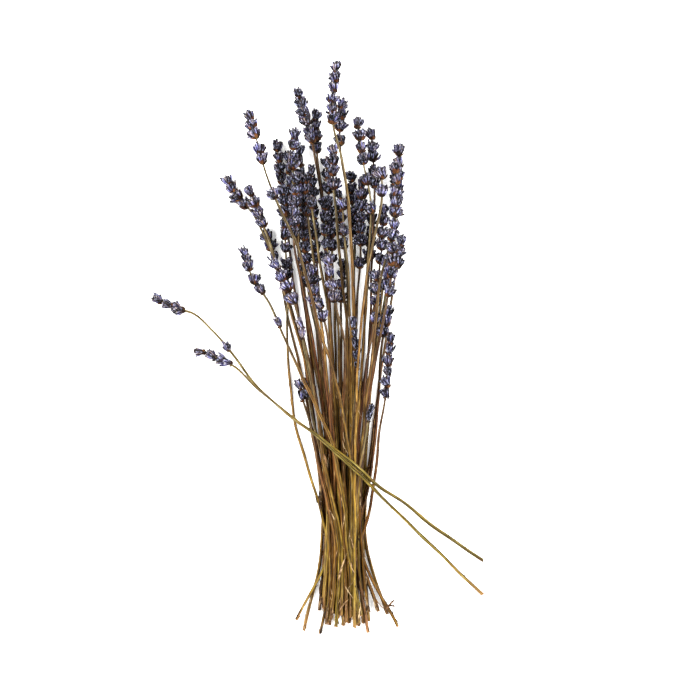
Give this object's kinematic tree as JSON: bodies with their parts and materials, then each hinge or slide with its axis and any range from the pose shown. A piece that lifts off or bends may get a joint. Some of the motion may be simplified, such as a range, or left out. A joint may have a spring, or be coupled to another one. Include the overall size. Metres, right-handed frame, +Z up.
{
  "type": "dried lavender bunch",
  "caption": "Loose bunch of dried lavender laid flat, its square straw stems gathered at the waist and fanning into violet flower spikes, with two stems laid across the front.",
  "frame": {"origin": "on the table, under the waist where the stems lie closest together", "axes": "+Y runs along the bunch from the cut ends to the flowers, +Z is up from the table, +X is to the right seen from above"},
  "size_m": [0.2208, 0.3822, 0.0351],
  "materials": {
    "straw": "dry square stems, golden brown above and olive towards the cut ends, satin",
    "fresh_straw": "dry square stems, olive yellow, satin",
    "calyx": "ribbed, softly hairy calyces, dull violet blue, matt"
  },
  "bodies": {
    "root": {"crossing_stem_1": "fresh_straw", "crossing_stem_2": "fresh_straw", "flower_spike_01": "calyx", "flower_spike_02": "calyx", "flower_spike_03": "calyx", "flower_spike_04": "calyx", "flower_spike_05": "calyx", "flower_spike_06": "calyx", "flower_spike_07": "calyx", "flower_spike_08": "calyx", "flower_spike_09": "calyx", "flower_spike_10": "calyx", "flower_spike_11": "calyx", "flower_spike_12": "calyx", "flower_spike_13": "calyx", "flower_spike_14": "calyx", "flower_spike_15": "calyx", "flower_spike_16": "calyx", "flower_spike_17": "calyx", "flower_spike_18": "calyx", "flower_spike_19": "calyx", "flower_spike_20": "calyx", "flower_spike_21": "calyx", "flower_spike_22": "calyx", "flower_spike_23": "calyx", "flower_spike_24": "calyx", "flower_spike_25": "calyx", "flower_spike_26": "calyx", "flower_spike_27": "calyx", "flower_spike_28": "calyx", "flower_spike_29": "calyx", "flower_spike_30": "calyx", "flower_spike_31": "calyx", "flower_spike_32": "calyx", "flower_spike_33": "calyx", "flower_spike_34": "calyx", "flower_spike_35": "calyx", "flower_spike_36": "calyx", "flower_spike_37": "calyx", "flower_spike_38": "calyx", "flower_spike_39": "calyx", "flower_spike_40": "calyx", "flower_spike_41": "calyx", "flower_spike_42": "calyx", "flower_spike_43": "calyx", "flower_spike_44": "calyx", "flower_spike_45": "calyx", "flower_spike_46": "calyx", "flower_spike_47": "calyx", "flower_spike_48": "calyx", "flower_spike_49": "calyx", "flower_spike_50": "calyx", "flower_spike_51": "calyx", "stem_layer_1": "straw", "stem_layer_2": "straw", "stem_layer_3": "straw", "stem_layer_4": "straw", "stem_layer_5": "straw"}
  },
  "joints": []
}
